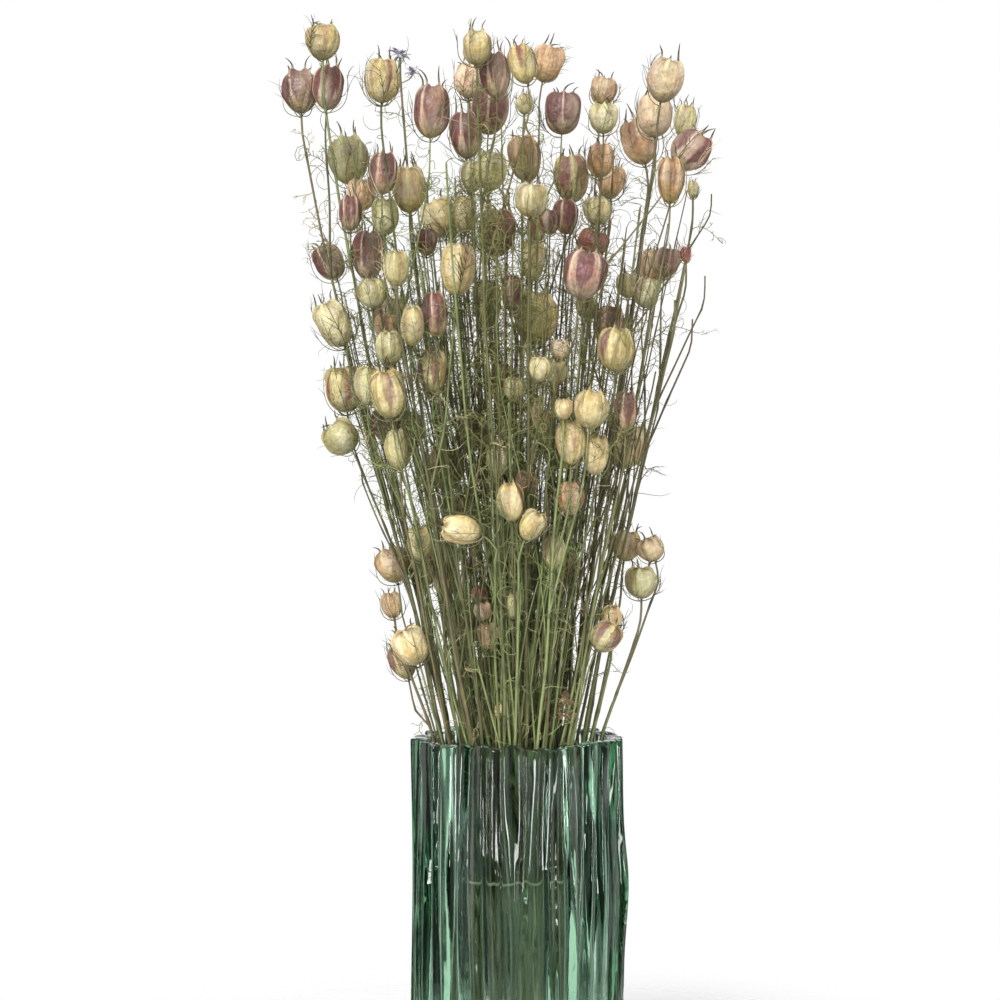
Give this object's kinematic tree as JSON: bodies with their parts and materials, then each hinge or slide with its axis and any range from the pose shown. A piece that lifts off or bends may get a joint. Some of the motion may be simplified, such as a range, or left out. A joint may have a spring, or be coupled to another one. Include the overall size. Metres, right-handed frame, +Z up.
{
  "type": "nigella seed pod bouquet in a glass vase",
  "caption": "Bouquet of dried nigella seed pods on thin branching stems, tied and held upright in a fluted green glass vase for table display.",
  "frame": {"origin": "middle of the vase's flat base, on the surface it stands on", "axes": "+Z up along the vase and the stems, -Y towards the viewer of the picture, +X to the viewer's right"},
  "size_m": [0.2364, 0.2126, 0.5989],
  "materials": {
    "green_glass": "clear tinted, fluted",
    "cord": "matte twisted cord",
    "straw_pods": "dry, papery",
    "plum_pods": "dry, papery",
    "striped_pods": "dry, papery",
    "green_pods": "dry, papery",
    "tan_pods": "dry, papery",
    "blush_pods": "dry, papery",
    "rose_pods": "dry, papery"
  },
  "bodies": {
    "root": {"vase": "green_glass", "tie": "cord", "spray_01": "green_pods", "spray_02": "plum_pods", "spray_03": "plum_pods", "spray_04": "tan_pods", "spray_05": "blush_pods", "spray_06": "plum_pods", "spray_07": "blush_pods", "spray_08": "plum_pods", "spray_09": "green_pods", "spray_10": "plum_pods", "spray_11": "tan_pods", "spray_12": "green_pods", "spray_13": "tan_pods", "spray_14": "green_pods", "spray_15": "green_pods", "spray_16": "green_pods", "spray_17": "striped_pods", "spray_18": "green_pods", "spray_19": "green_pods", "spray_20": "straw_pods", "spray_21": "green_pods", "spray_22": "green_pods", "spray_23": "plum_pods", "spray_24": "green_pods", "spray_25": "plum_pods", "spray_26": "green_pods", "spray_27": "green_pods", "spray_28": "striped_pods", "spray_29": "plum_pods", "spray_30": "plum_pods", "spray_31": "green_pods", "spray_32": "straw_pods", "spray_33": "plum_pods", "spray_34": "striped_pods", "spray_35": "straw_pods", "spray_36": "green_pods", "spray_37": "rose_pods", "spray_38": "straw_pods", "spray_39": "straw_pods", "spray_40": "blush_pods", "spray_41": "striped_pods", "spray_42": "green_pods", "spray_43": "tan_pods", "spray_44": "tan_pods", "spray_45": "green_pods", "spray_46": "green_pods", "spray_47": "green_pods", "spray_48": "tan_pods", "spray_49": "straw_pods", "spray_50": "tan_pods", "spray_51": "striped_pods", "spray_52": "straw_pods", "spray_53": "striped_pods"}
  },
  "joints": []
}
